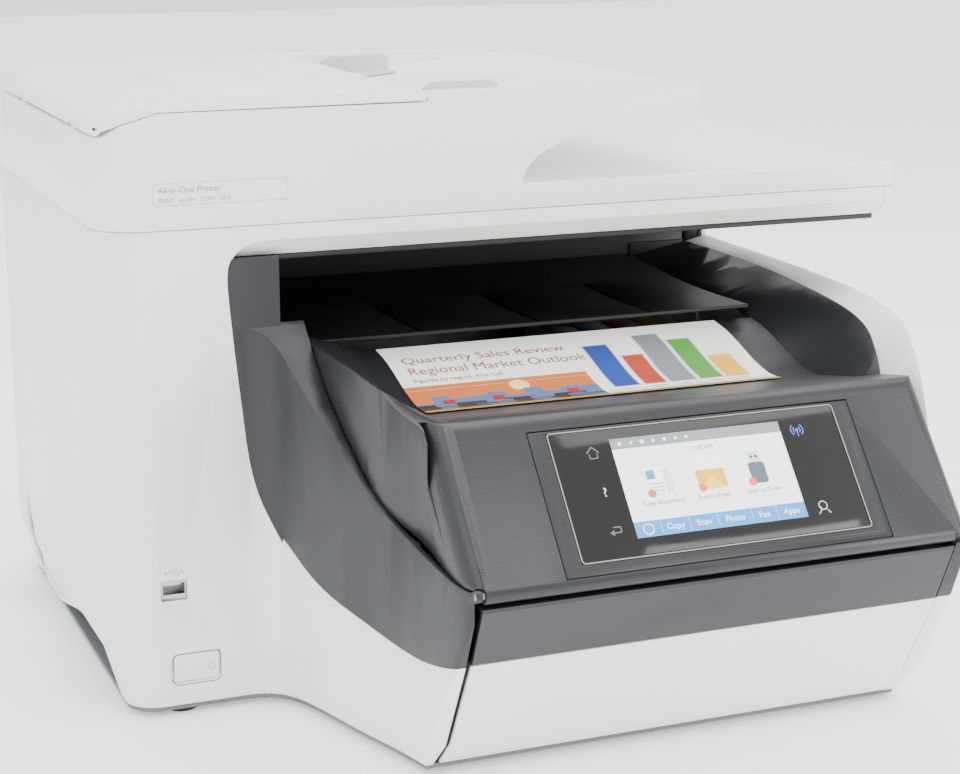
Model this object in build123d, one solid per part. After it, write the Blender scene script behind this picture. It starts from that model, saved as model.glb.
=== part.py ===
from build123d import *
import math
import os

os.makedirs("parts", exist_ok=True)

# ---------------------------------------------------------------------------
# A desktop all-in-one inkjet printer: flatbed scanner with a document feeder
# on top, print engine and paper drawer below, control panel on a folding nose.
#
# Everything is drawn in the housing's own corner frame: x to the right from
# the left side, y to the back from the flat front face, z up from the table.
# The nose stands in front of that face, so its y is negative.  save() moves
# each piece to the part's frame, whose origin is under the middle of the
# whole machine.  All sizes are in millimetres.
# ---------------------------------------------------------------------------

WIDTH = 486.0          # across the scanner lid
NOSE = 187.0           # nose, in front of the flat front face
BACK = 343.0           # rear door, behind the front face
HEIGHT = 344.0         # top of the document feeder
BODY_RIGHT = 460.0     # right side of the print engine, under the lid's overhang
BODY_BACK = 330.0      # rear cover
WALL = 3.0             # wall of the moulded covers
SEAM = 0.4             # gap between neighbouring covers
FIT = 0.05             # radial clearance of a running shaft
FLOOR = 6.0            # underside of the covers
CORNER = 27.0          # front left corner in plan
REAR_CORNER = 35.0     # rear left corner in plan

CASE_BOTTOM = 258.0    # scanner case
CASE_TOP = 275.0       # scanner case, where the lid rests
LID_BOTTOM = 275.5
LID_TOP = 289.5        # flat part of the lid
LID_BACK = 327.0
FEEDER_BACK = 284.0    # rear wall of the document feeder
TRAY_END = 350.0       # right end of the feeder's input tray
COVER_END = 182.0      # right edge of the feeder cover

DRAWER_LEFT = 141.0
DRAWER_RIGHT = 411.0
DRAWER_TOP = 112.0
DARK_LINE = 77.5       # dark band above, white front below
NOSE_BOTTOM = 118.6    # lower edge of the sloping control panel
PANEL_ANGLE = 50.0     # control panel, up from level
DOOR_HINGE = (-181.8, 117.8)
DOOR_RIGHT = 402.0
NOSE_RIGHT = 420.0
DECK_FRONT = 29.0      # lip of the output deck, over the output slot


# --- helpers ---------------------------------------------------------------

def on_x(x):
    return lambda y, z: Vector(x, y, z)


def on_y(y):
    return lambda x, z: Vector(x, y, z)


def on_z(z):
    return lambda x, y: Vector(x, y, z)


def face_of(place, *runs):
    """A flat face from runs of points: ("line", ...), ("curve", ...) or ("arc", start, middle, end)."""
    edges = []
    for kind, *points in runs:
        spots = [place(*p) for p in points]
        if kind == "line":
            edges += [Edge.make_line(a, b) for a, b in zip(spots, spots[1:])]
        elif kind == "arc":
            edges.append(Edge.make_three_point_arc(*spots))
        else:
            edges.append(Edge.make_spline(spots))
    return Face(Wire(edges))


def pushed(face, vector):
    return Solid.extrude(face, Vector(*vector))


def prism_x(x0, x1, *runs):
    return pushed(face_of(on_x(x0), *runs), (x1 - x0, 0, 0))


def prism_y(y0, y1, *runs):
    return pushed(face_of(on_y(y0), *runs), (0, y1 - y0, 0))


def prism_z(z0, z1, *runs):
    return pushed(face_of(on_z(z0), *runs), (0, 0, z1 - z0))


def loop(*points):
    """One closed run of straight sides."""
    return ("line", *points, points[0])


def block(x0, x1, y0, y1, z0, z1):
    return Pos((x0 + x1) / 2, (y0 + y1) / 2, (z0 + z1) / 2) * Box(x1 - x0, y1 - y0, z1 - z0)


def rod_x(x0, x1, y, z, radius):
    return Pos((x0 + x1) / 2, y, z) * Rot(0, 90, 0) * Cylinder(radius, x1 - x0)


def rod_y(x, y0, y1, z, radius):
    return Pos(x, (y0 + y1) / 2, z) * Rot(90, 0, 0) * Cylinder(radius, y1 - y0)


def rod_z(x, y, z0, z1, radius):
    return Pos(x, y, (z0 + z1) / 2) * Cylinder(radius, z1 - z0)


def rounded(x0, x1, y0, y1, z0, z1, radius, axis=Axis.Z):
    """A block whose edges along one axis are rounded."""
    solid = block(x0, x1, y0, y1, z0, z1)
    return fillet(solid.edges().filter_by(axis), radius)


def save(name, *pieces):
    """Write one node, moved to the part's frame, as separate solids."""
    solids = []
    for piece in pieces:
        solids += [solid for solid in piece.solids() if solid.volume > 1]   # drops cutting slivers
    moved = [Pos(-WIDTH / 2, (NOSE - BACK) / 2, 0) * solid for solid in solids]
    node = moved[0] if len(moved) == 1 else Compound(children=moved)
    node.label = name
    export_step(node, f"parts/{name}.step")


# --- the print engine's outer form -------------------------------------------

SWEEP_LEFT = [(74, 0), (88, -5), (97, -24), (108, -63), (121, -105), (129.6, -148), (132.4, -166), (136, -177),
              (142, -185), (150, -192)]
SWEEP_RIGHT = [(420, -192), (423, -150), (434, -105), (448, -63), (457, -24), (BODY_RIGHT, 12)]


def shifted(points, distance):
    """The points moved to the right of the way they run."""
    moved = []
    for i, (x, y) in enumerate(points):
        before, after = points[max(i - 1, 0)], points[min(i + 1, len(points) - 1)]
        dx, dy = after[0] - before[0], after[1] - before[1]
        length = math.hypot(dx, dy)
        moved.append((x + distance * dy / length, y - distance * dx / length))
    return moved


def plan_face(z, inset=0.0):
    """The engine's outline seen from above, drawn at height z."""
    r, c, d = CORNER - inset, REAR_CORNER - inset, 20 - inset
    k = 1 - math.sqrt(0.5)
    x0, x1, y0, y1 = inset, BODY_RIGHT - inset, inset, BODY_BACK - inset
    left = shifted(SWEEP_LEFT, -inset)
    left[0] = (74, y0)
    left[-1] = (150 + inset, -192)
    right = shifted(SWEEP_RIGHT, -inset)
    right[0] = (420 - inset, -192)
    right[-1] = (x1, 12)
    return face_of(
        on_z(z),
        ("line", (x0 + r, y0), left[0]),
        ("curve", *left),
        ("line", left[-1], right[0]),
        ("curve", *right),
        ("line", right[-1], (x1, y1 - d)),
        ("arc", (x1, y1 - d), (x1 - d * k, y1 - d * k), (x1 - d, y1)),
        ("line", (x1 - d, y1), (x0 + c, y1)),
        ("arc", (x0 + c, y1), (x0 + c * k, y1 - c * k), (x0, y1 - c)),
        ("line", (x0, y1 - c), (x0, y0 + r)),
        ("arc", (x0, y0 + r), (x0 + r * k, y0 + r * k), (x0 + r, y0)),
    )


FRONT_PROFILE = [(-186.3, NOSE_BOTTOM), (-184.4, DRAWER_TOP), (-169, DARK_LINE), (-140, 24), (-121, FLOOR)]


def engine(inset=0.0):
    """The whole engine block, tucked in along its foot and cut to the drawer's front profile."""
    low = FLOOR if not inset else FLOOR - 2
    tuck_in, tuck_up = 9.0, 34.0
    foot = loft([plan_face(low, inset + tuck_in), plan_face(FLOOR + tuck_up, inset)], ruled=True)
    upper = pushed(plan_face(FLOOR + tuck_up, inset), (0, 0, CASE_BOTTOM - FLOOR - tuck_up))
    shape = foot + upper
    front = [(y + inset, z) for y, z in FRONT_PROFILE]
    keep = prism_x(-10, 500, loop(*front, (front[-1][0], 0), (400, 0), (400, 300), (front[0][0], 300)))
    return shape & keep


# white and dark covers meet along this line: up the tower, then forward over the sweep
TOWER_EDGE = [(71.5, 258.6), (69.6, 255), (68.6, 249), (69.2, 232), (71.5, 205), (74.6, 175), (79.7, 136),
              (84, 121), (88.3, 110), (92.3, 100)]
SWEEP_EDGE = [(2, 114), (-14.1, 100), (-39, 86), (-77, 76.5), (-107, 71), (-134, 70), (-153, 73),
              (-170, DARK_LINE)]
DOOR_LEFT_LINE = [(111.2, 26.5), (111.6, -20), (115, -65), (122.6, -102), (131, -126)]
NOSE_CORNER = [(132.7, -145), (133.6, -162), (136, -174.5), (141.4, -182.6), (152, -186.6)]
CREASE = [(60, 220.5), (0, 219.5), (-11, 208.5), (-33, 188.6), (-65, 165), (-98, 140.8), (-134, 127),
          (-176, 119.2)]

# right shoulder, in rows from front to back: beside the door, where dark meets white, and the outer edge
SHOULDER_GAP = [(402.6, -92.8, 150), (402.6, -50, 157), (402.6, -19, 169.5), (402.6, -4, 179.5), (402.6, 13, 189),
                (402.6, 40, 198.5), (402.6, 94, 200.8), (402.6, 196, 205)]
SHOULDER_LINE = [(421, -92.8, 172), (427, -80, 184), (431, -68, 192.5), (435, -56, 198.4), (440, -28, 205.3),
                 (443, 4, 208.2), (444, 60, 212), (444, 196, 213)]
RIM_INNER = [(410, -142.5, 112), (413, -130, 135), (417, -113, 157)] + SHOULDER_LINE
RIM_OUTER = [(428, -142.5, 112), (428.6, -139, 145), (430, -132, 170), (434, -117, 194), (442, -91, 208.7),
             (453, -54, 211.5), (461.5, -6, 213.2), (463, 32, 215), (463, 119, 216), (463, 196, 217)]


def dark_zone(gap=0.0):
    """Everything above and to the right of the line between the white and dark covers."""
    tower = [(x - gap, z) for x, z in TOWER_EDGE]
    split = TOWER_EDGE[-1][0]
    beside = prism_y(-200, 12, ("curve", *tower), ("line", tower[-1], (split, tower[-1][1] - gap - 0.01), (split, 40),
                                                  (60, 40), (60, 258.6), tower[0]))
    sweep = [(y, z - gap) for y, z in SWEEP_EDGE]
    above = prism_x(split, 520, ("curve", *sweep),
                    ("line", sweep[-1], (-200, sweep[-1][1]), (-200, 262), (12, 262), (12, 114 - gap), sweep[0]))
    left = block(60, split, -200, 12, 40, 262) - beside
    return left + above


def crease_zone():
    """Below the door's side: the top edge of the left cheek, falling to the nose."""
    return prism_x(60, 150, ("curve", *CREASE), ("line", CREASE[-1], (-200, 119.2), (-200, 0), (60, 0), CREASE[0]))


def under(row_a, row_b, depth, drop=0.0):
    """A solid hanging from the ruled surface between two rows of points."""
    edges = [Edge.make_spline([Vector(x, y, z - drop) for x, y, z in row]) for row in (row_a, row_b)]
    return Solid.extrude(Face.make_surface_from_curves(*edges), Vector(0, 0, -depth))


def door_plan(inset=0.0):
    """The folding nose's outline seen from above."""
    i = inset
    left = shifted(DOOR_LEFT_LINE + NOSE_CORNER, -i)
    return prism_z(100, 230, ("curve", *left),
                   ("line", left[-1], (left[-1][0], -192), (NOSE_RIGHT - i, -192), (NOSE_RIGHT - i, -93.6 - i),
                    (DOOR_RIGHT - 0.2 - i, -93.6 - i),
                    (DOOR_RIGHT - 0.2 - i, left[0][1]), left[0]))


def drawer_bay():
    """Space for the drawer, through the front and back along the floor."""
    return block(DRAWER_LEFT - 0.6, DRAWER_RIGHT + 0.6, -200, 262, 0, 119.5)


def build_covers():
    skin = engine() - engine(WALL)
    left_front = block(-5, 138, -200, 40, 0, 300)
    corner_seam = CORNER + 1.0

    # scanner band: a white strip over the front with a bevel under it, rounded into the tower
    band = prism_x(CORNER, WIDTH - 10, loop((0, CASE_TOP), (0, 267), (7.5, CASE_BOTTOM), (11, CASE_BOTTOM),
                                            (WALL, 268), (WALL, CASE_TOP)))
    ring_corner = rounded(0, 2 * CORNER, 0, 2 * CORNER, CASE_BOTTOM, CASE_TOP, CORNER - 0.01)
    ring_corner -= rounded(WALL, 2 * CORNER - WALL, WALL, 2 * CORNER - WALL, 200, 300, CORNER - WALL - 0.01)
    ring_corner &= block(-1, CORNER, -1, corner_seam, 0, 300)
    over_tower = block(CORNER, 68.5, 0, WALL, CASE_BOTTOM - 0.01, CASE_TOP)
    over_tower += prism_y(0, WALL, ("line", (71.2, CASE_BOTTOM - 0.01), (68.4, CASE_BOTTOM - 0.01), (68.4, 268),
                                    (88, 268), (88, 266.9)),
                          ("curve", (88, 266.9), (79, 264.6), (73.5, 261), (71.2, CASE_BOTTOM - 0.01)))

    front = (skin & left_front) - dark_zone(SEAM) - drawer_bay()
    front -= block(-5, 40, corner_seam, 60, 0, 300)
    front -= block(40, 150, WALL + 12, 60, 0, 300)
    front = front + ring_corner + over_tower + band
    front -= rounded(25.6, 40.4, -5, 10, 70.6, 82.4, 1.0, Axis.Y)
    front -= rounded(30.6, 58.4, -5, 10, 20.6, 39.4, 3.2, Axis.Y)
    front_bezel = front

    side = skin & block(-5, REAR_CORNER + 30, corner_seam + SEAM, 400, 0, 300)
    side = side & block(-5, 60, 0, 291, 0, 300)
    side += block(0, WALL, corner_seam + SEAM, 291, CASE_BOTTOM - 0.01, CASE_TOP)
    grip = prism_x(-5, 20, ("line", (268, 72), (227, 17), (177, 17), (101, 34), (43, 34), (35, 0),
                            (268, 0), (268, 72)))
    side -= grip
    grip_wall = prism_x(2.9, 14, loop((268, 72), (227, 17), (177, 17), (101, 34), (43, 34), (43, 37),
                                      (101, 37), (177, 20), (226, 20), (264, 72)))
    left_side_cover = side + grip_wall

    top = under(RIM_INNER, RIM_OUTER, 260)
    low = block(395, 470, -200, 196, 0, NOSE_BOTTOM - 0.4)
    right = skin & block(424, 470, -200, 291, 0, 300) & (top + low + block(395, 470, 196, 400, 0, 300))
    shoulder = under(RIM_INNER, RIM_OUTER, 4.5) & engine() & block(400, 470, -200, 200, NOSE_BOTTOM - 0.4, 230)
    low_right = (skin & block(400, 424, -200, 40, 0, NOSE_BOTTOM - 0.4)) - drawer_bay()
    low_right -= prism_x(395, 470, loop((-200, DARK_LINE), (-140, DARK_LINE), (-60, 86), (60, 90), (60, 300), (-200, 300)))
    right_side_cover = (right + shoulder - door_plan(-0.6)) + low_right

    cheek = ((skin & block(60, 138, -200, WALL + 9, 0, 300)) & dark_zone()) - drawer_bay()
    cheek = cheek & crease_zone() & block(60, 150, -200, 12, 0, 300)
    tower = block(60, 96.9, 0.05, WALL + 0.2, 216, CASE_BOTTOM) & dark_zone()
    pillar = block(94, 97, 0.5, 196, 203, CASE_BOTTOM - 4)
    ledge = block(94, 110.4, -1, 196, 203, 206)
    low_edge = [(y, z - 2.5) for y, z in reversed(CREASE)]
    step = prism_x(60, 150, ("curve", *CREASE), ("line", CREASE[-1], low_edge[0]), ("curve", *low_edge),
                   ("line", low_edge[-1], CREASE[0]))
    door_side = [(x - 0.6, y) for x, y in DOOR_LEFT_LINE]
    beside_door = prism_z(100, 230, ("curve", *door_side), ("line", door_side[-1], (60, -126), (60, 26.5), door_side[0]))
    step = step & beside_door & engine() & block(60, 140, -126, 2, 100, 222) & dark_zone()
    left_cheek = (tower + pillar + ledge) + (cheek + step)

    saddle = under(SHOULDER_GAP, SHOULDER_LINE, 3) & block(400, 443.8, -93, 196, 100, 230)
    right_low = (skin & block(400, 429.6, -200, 40, 0, NOSE_BOTTOM - 0.4)) - drawer_bay()
    right_low &= prism_x(395, 470, loop((-200, DARK_LINE + SEAM), (-140, DARK_LINE + SEAM), (-60, 86 + SEAM),
                                        (60, 90 + SEAM), (60, 300), (-200, 300)))
    right_low -= block(423.6, 430, -200, 40, 0, 300)
    # room for the door's lip to turn, and a web that carries the right hinge boss
    hinge_y, hinge_z = DOOR_HINGE
    right_low -= rod_x(410, 424, hinge_y, hinge_z, 5.6) & block(410, 424, -190, -182.4, 100, 130)
    right_low += block(DRAWER_RIGHT + 0.2, 418.4, -181.6, -168, 84, 116) & engine(0.5)
    right_cheek = (right_low + saddle) - right_side_cover

    return front_bezel, left_side_cover, right_side_cover, left_cheek, right_cheek


def build_door_bosses():
    """Fixed ends beside the drawer that hold the door's hinge pins."""
    hinge_y, hinge_z = DOOR_HINGE
    bosses = []
    for x0, x1 in ((137.4, DRAWER_LEFT - 0.2), (DRAWER_RIGHT + 0.2, 418.4)):
        disc = rod_x(x0, x1, hinge_y, hinge_z, 3.2)
        bosses.append(disc)
    return bosses


front_bezel, left_side_cover, right_side_cover, left_cheek, right_cheek = build_covers()
left_boss, right_boss = build_door_bosses()
door_pin_holes = rod_x(100, DRAWER_LEFT + 2, *DOOR_HINGE, 2) + rod_x(DRAWER_RIGHT - 2, 440, *DOOR_HINGE, 2)
left_cheek = left_cheek + left_boss - door_pin_holes
right_cheek = right_cheek + right_boss - door_pin_holes
save("front_bezel", front_bezel)
save("left_side_cover", left_side_cover)
save("right_side_cover", right_side_cover)
save("left_cheek", left_cheek)
save("right_cheek", right_cheek)


# --- base, feet and rear -----------------------------------------------------

PAN_BOTTOM, PAN_TOP = 3.0, 5.8
FEET = [(165, -92), (390, -92), (40, 22), (425, 40), (45, 296), (420, 296)]


def build_base_pan():
    plate = pushed(plan_face(PAN_BOTTOM, 10), (0, 0, PAN_TOP - PAN_BOTTOM)) & block(-5, 500, -119, 400, 0, 10)
    left_rail = block(136.5, 140.2, -15, 250, PAN_TOP - 0.1, 34)
    right_rail = block(411.8, 415.5, -15, 250, PAN_TOP - 0.1, 34)
    back_stop = block(136.5, 415.5, 250, 253, PAN_TOP - 0.1, 40)
    return plate + left_rail + right_rail + back_stop


def build_feet():
    return [rod_z(x, y, 0, PAN_BOTTOM, 9) for x, y in FEET]


REAR_DOOR = (122, 358, 62, 198)      # x0, x1, z0, z1
REAR_HINGE = (335.0, 66.5)
INLET = (50, 78, 46, 66)
PORTS = (13, 33, 110, 182)


def build_rear_cover():
    cover = (engine() - engine(WALL)) & block(-5, 500, 291.4, 400, 0, 300)
    x0, x1, z0, z1 = REAR_DOOR
    cover -= block(x0 - 0.6, x1 + 0.6, 320, 340, z0 - 0.6, z1 + 0.6)
    cover -= block(INLET[0] - 0.3, INLET[1] + 0.3, 310, 340, INLET[2] - 0.3, INLET[3] + 0.3)
    cover -= block(PORTS[0] - 0.3, PORTS[1] + 20.3, 310, 340, PORTS[2] - 0.3, PORTS[3] + 0.3)
    for row in range(9):
        z = 130 + row * 9
        cover -= rounded(390, 440, 310, 340, z, z + 3, 1.4, Axis.Y)
    hinge_y, hinge_z = REAR_HINGE
    for x in (x0 - 9, x1 + 2):
        ear = block(x, x + 7, 326.5, hinge_y, hinge_z - 4.5, hinge_z + 4.5) + rod_x(x, x + 7, hinge_y, hinge_z, 4.5)
        cover += ear
    cover -= rod_x(x0 - 12, x1 + 12, hinge_y, hinge_z, 2.0 + FIT)
    return cover


def build_rear_door():
    x0, x1, z0, z1 = REAR_DOOR
    hinge_y, hinge_z = REAR_HINGE
    door = rounded(x0, x1, 330.6, BACK, z0, z1, 5, Axis.Y)
    door = fillet(door.faces().sort_by(Axis.Y)[-1].edges(), 2.5)
    door -= block(x0 + 3, x1 - 3, 325, BACK - 3, z0 + 12, z1 - 3)
    for x in (200, 270):
        door -= rounded(x, x + 22, BACK - 1.5, BACK + 1, z1 - 24, z1 - 12, 3, Axis.Y)
    pins = rod_x(x0 - 7, x0 + 1, hinge_y, hinge_z, 2.0) + rod_x(x1 - 1, x1 + 7, hinge_y, hinge_z, 2.0)
    return door + pins


def build_power_inlet():
    x0, x1, z0, z1 = INLET
    y1 = 329.0
    body = block(x0, x1, y1 - 22, y1, z0, z1)
    body -= rounded(x0 + 2.5, x1 - 2.5, y1 - 16, y1 + 1, z0 + 2.5, z1 - 2.5, 2.5, Axis.Y)
    middle = (x0 + x1) / 2
    for dx, dz in ((-6, -1.5), (6, -1.5), (0, 3)):
        body += block(middle + dx - 1, middle + dx + 1, y1 - 16.5, y1 - 5, (z0 + z1) / 2 + dz - 2, (z0 + z1) / 2 + dz + 2)
    return body


def build_rear_ports():
    """A stack of sockets: two phone jacks, a network jack and a square data socket, on one carrier."""
    x0, x1, z0, z1 = PORTS
    y1 = 329.0
    body = block(x0, x1 + 20, y1 - 16, y1, z0, z1)
    for z, wide, tall in ((114, 12, 12), (131, 12, 12), (148, 14, 13), (166, 12, 12)):
        body -= block(x0 + 4, x0 + 4 + wide, y1 - 13, y1 + 1, z, z + tall)
    return body


save("base_pan", build_base_pan())
save("rubber_feet", *build_feet())
save("rear_cover", build_rear_cover())
save("rear_access_door", build_rear_door())
save("power_inlet", build_power_inlet())
save("rear_ports", build_rear_ports())


# --- front socket and power button --------------------------------------------

def build_usb_port():
    port = block(26, 40, 0.8, 18, 71, 82)
    port -= block(26.9, 39.1, 0, 13, 74.2, 80.6)
    return port + block(27.8, 38.2, 4, 14, 78.3, 80.0)


def build_power_button():
    cap = engine(0.2) - engine(3.4)
    return cap & rounded(31, 58, -5, 12, 21, 39, 3, Axis.Y)


save("usb_port", build_usb_port())
save("power_button", build_power_button())


# --- output cavity -------------------------------------------------------------

DECK_TOP = [(DECK_FRONT, 203), (60, 202), (100, 201.6), (150, 203.6), (197.4, 207)]
DECK_LEFT, DECK_RIGHT = 110.8, 402.0


def build_output_deck():
    thick = 2.5
    under = [(y, z - thick) for y, z in reversed(DECK_TOP)]
    deck = prism_x(DECK_LEFT, DECK_RIGHT, ("curve", *DECK_TOP), ("line", DECK_TOP[-1], under[0]),
                   ("curve", *under), ("line", under[-1], DECK_TOP[0]))
    for x in (190, 263.5, 337):
        deck -= block(x - 0.7, x + 0.7, 33, 128, 200.9, 210)
    return deck


def build_cavity_liner():
    wall = block(97.4, 443, 198, 201, 203.5, CASE_BOTTOM - 0.4)
    post = fillet(block(443, 456.4, 197, 214, 206, CASE_BOTTOM - 0.4).edges().filter_by(Axis.Z), 4)
    sill = block(402.6, 443, 196.5, 198.1, 204, 214)
    return wall + post + sill


def build_scanner_underside():
    plate = block(60, 474, 8.6, 196, 254.6, CASE_BOTTOM - 0.3)
    plate -= block(59, 97.6, 8, 200, 254, 258)
    return plate + block(98, 474, 190, 195, 251.5, 255)


save("output_deck", build_output_deck())
save("cavity_liner", build_cavity_liner())
save("scanner_underside", build_scanner_underside())


# --- scanner --------------------------------------------------------------------

GLASS_WINDOW = (46, 402, 60, 276)
STRIP_WINDOW = (14, 30, 60, 276)
HINGE_AXIS = (322.5, 280.0)
HINGE_SPOTS = (58, 416)
HINGE_WIDTH = 14.0
RAIL = (168.0, 265.0)


def build_scanner_case():
    case = block(0, WIDTH, 0, LID_BACK, CASE_BOTTOM, CASE_TOP)
    case = fillet(case.edges().filter_by(Axis.Z), 10)
    case = chamfer(case.faces().sort_by(Axis.Z)[0].edges(), 9, 7.5)
    case -= block(WALL, WIDTH - WALL, WALL, LID_BACK - WALL, 261, 280)
    case -= block(-5, WIDTH - 10 + SEAM, -5, 11.4, 250, 280)
    case -= block(-5, 11, 0, 291.4, 250, 280)
    for x in HINGE_SPOTS:
        case -= block(x - 0.6, x + HINGE_WIDTH + 0.6, 317, 330, 274.2, 280)
    for x in (5, WIDTH - 8):
        case += block(max(x, 11), max(x, 11) + 4, RAIL[0] - 6, RAIL[0] + 6, 260.9, 269.6)
    case -= rod_x(0, WIDTH - 2, RAIL[0], RAIL[1], 2.5 + FIT / 2)
    return case


def build_scanner_top_frame():
    frame = block(3.5, WIDTH - 3.5, 3.5, LID_BACK - 3.5, 272.2, CASE_TOP)
    frame = fillet(frame.edges().filter_by(Axis.Z), 8)
    frame -= block(-1, 30, -1, 30, 270, 280) - rod_z(CORNER, CORNER, 268, 282, CORNER - 3.6) - block(
        CORNER, 40, -2, 40, 268, 282) - block(-2, 40, CORNER, 40, 268, 282)
    for x0, x1, y0, y1 in (GLASS_WINDOW, STRIP_WINDOW):
        frame -= block(x0, x1, y0, y1, 270, 280)
    for x in HINGE_SPOTS:
        frame -= block(x - 0.6, x + HINGE_WIDTH + 0.6, 316, 330, 270, 280)
    return frame


def build_scanner_glass():
    panes = []
    for x0, x1, y0, y1 in (GLASS_WINDOW, STRIP_WINDOW):
        panes.append(block(x0 - 3, x1 + 3, y0 - 3, y1 + 3, 270.1, 272.1))
    return panes


def build_scan_bar():
    bar = block(46, 66, 56, 280, 261.8, 269.4) - rod_x(40, 70, RAIL[0], RAIL[1], 2.5 + FIT)
    return bar - block(52, 60, 60, 276, 268.2, 271)


def build_lid_hinges():
    pieces = []
    for x in HINGE_SPOTS:
        post = block(x, x + HINGE_WIDTH, 318.3, 323.4, 261.2, HINGE_AXIS[1])
        knuckle = rod_x(x, x + HINGE_WIDTH, *HINGE_AXIS, 4.2)
        pieces.append(post + knuckle - rod_x(x - 1, x + HINGE_WIDTH + 1, *HINGE_AXIS, 2 + FIT))
    return pieces


save("scanner_case", build_scanner_case())
save("scanner_top_frame", build_scanner_top_frame())
save("scanner_glass", *build_scanner_glass())
save("scan_bar", build_scan_bar())
save("scan_rail", rod_x(11, 482, *RAIL, 2.5))
save("lid_hinges", *build_lid_hinges())


# --- lid and document feeder -----------------------------------------------------

COVER_HINGE = (3.4, 328.6)
TRAY_FLOOR = [(183.5, 327.0), (345, 341.0)]
LUGS = (60, 210)
DRIVE_ROLLER = (60.0, 315.0)


def lid_plan(inset=0.0, z0=LID_BOTTOM, z1=HEIGHT, back=LID_BACK):
    r, c = CORNER - inset, 10 - inset
    k = 1 - math.sqrt(0.5)
    x1, y1, i = WIDTH - inset, back - inset, inset
    return prism_z(z0, z1, ("line", (i + r, i), (x1 - c, i)),
                   ("arc", (x1 - c, i), (x1 - c * k, i + c * k), (x1, i + c)),
                   ("line", (x1, i + c), (x1, y1 - c)),
                   ("arc", (x1, y1 - c), (x1 - c * k, y1 - c * k), (x1 - c, y1)),
                   ("line", (x1 - c, y1), (i + c, y1)),
                   ("arc", (i + c, y1), (i + c * k, y1 - c * k), (i, y1 - c)),
                   ("line", (i, y1 - c), (i, i + r)),
                   ("arc", (i, i + r), (i + r * k, i + r * k), (i + r, i)))


def build_lid_shell():
    slab = lid_plan(z1=LID_TOP)
    slab = fillet(slab.faces().sort_by(Axis.Z)[-1].edges().filter_by(GeomType.LINE).sort_by(Axis.X)[-1:], 1.2)
    skirt = ("curve", (239, 289), (243.5, 299.5), (266, 312.5), (300, 320.5), (334, 326.5), (TRAY_END, 330))
    feeder = prism_y(0, FEEDER_BACK, skirt,
                     ("line", (TRAY_END, 330), (TRAY_END, 339)),
                     ("arc", (TRAY_END, 339), (TRAY_END - 0.9, 341.1), (TRAY_END - 3, 342)),
                     ("line", (TRAY_END - 3, 342), (186, 342), (184, 340), (184, 337), (33, 336.8), (15, 331.2),
                      (6, 324.6), (0, 323.6), (0, 280), (239, 280), (239, 289)))
    feeder &= lid_plan()
    shell = slab + feeder
    shell -= prism_y(16, 264, loop(*TRAY_FLOOR, (345, 350), (183.5, 350)))
    shell -= block(10, 176, 14, 270, 296, 350)
    shell -= block(170, 190, 30, 250, 327.4, 350)
    shell -= block(170, 262, 30, 250, 290, 297)
    shell -= block(170, 222, 20, 264, 299.5, 322)
    hollow = lid_plan(WALL, 270, 286.5)
    for x in HINGE_SPOTS:
        hollow -= block(x - 8, x - 0.5, 316, 330, 270, 290)
        hollow -= block(x + HINGE_WIDTH + 0.5, x + HINGE_WIDTH + 8, 316, 330, 270, 290)
    shell -= hollow
    # the rear edge turns about the hinge line
    turned = block(-5, 500, HINGE_AXIS[0], 340, 270, HINGE_AXIS[1]) - rod_x(-5, 500, *HINGE_AXIS, 4.4)
    shell -= turned
    shell -= prism_x(-5, 500, loop((312, 275), (314, 275), (HINGE_AXIS[0], 275.6), (HINGE_AXIS[0], 274), (312, 274)))
    for x in HINGE_SPOTS:
        shell -= block(x - 0.5, x + HINGE_WIDTH + 0.5, 315, 330, 270, 286.5)
    shell -= rod_x(HINGE_SPOTS[0] - 8.1, HINGE_SPOTS[0] + HINGE_WIDTH + 8.1, *HINGE_AXIS, 2.0)
    shell -= rod_x(HINGE_SPOTS[1] - 8.1, HINGE_SPOTS[1] + HINGE_WIDTH + 8.1, *HINGE_AXIS, 2.0)
    for y in LUGS:
        shell += block(2.2, 4.6, y, y + 10, 322, COVER_HINGE[1]) + rod_y(COVER_HINGE[0], y, y + 10, COVER_HINGE[1], 2.2)
        shell -= rod_y(COVER_HINGE[0], y - 1, y + 11, COVER_HINGE[1], 1.0)
    for y in (9, 269.5):
        shell -= rod_y(DRIVE_ROLLER[0], y, y + 5.5, DRIVE_ROLLER[1], 3 + FIT)
    for y in (52, 226):
        shell -= prism_y(y, y + 1.5, loop((200, 328.6), (240, 332), (240, 330.5), (200, 327.1)))
    return shell


def build_adf_cover():
    top = ("curve", (0.1, 327.6), (2.4, 332), (11, 337.3), (30, 341.4), (62, 343.4), (120, HEIGHT), (172, 343.7),
           (180.5, 342.6), (182.8, 340.6))
    low = ("line", (182.8, 340.6), (181.8, 337.9), (33, 337.4), (15, 331.9), (5.6, 327.4))
    cover = prism_y(0.2, FEEDER_BACK - 0.4, top, low, ("arc", (5.6, 327.4), (3.2, 325.2), (0.1, 327.6)))
    cover &= lid_plan(0.1, 300, 350)
    for y in LUGS:
        cover -= rod_y(COVER_HINGE[0], y - 0.6, y + 10.6, COVER_HINGE[1], 2.6)
        cover -= block(-1, 5.4, y - 0.6, y + 10.6, 320, COVER_HINGE[1])
    return cover - rod_y(COVER_HINGE[0], -5, 300, COVER_HINGE[1], 1.0 + FIT)


PICK = (161.0, 331.4)


def build_adf_pick_module():
    frame = block(144, 174, 112, 172, 334.6, 337.2)
    for y in (114, 167):
        frame += block(157, 165, y, y + 3, 329, 335)
    frame -= block(PICK[0] - 5.4, PICK[0] + 5.4, 118, 166, 334, 338)
    return frame - rod_y(PICK[0], 110, 175, PICK[1], 1.5 + FIT)


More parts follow.
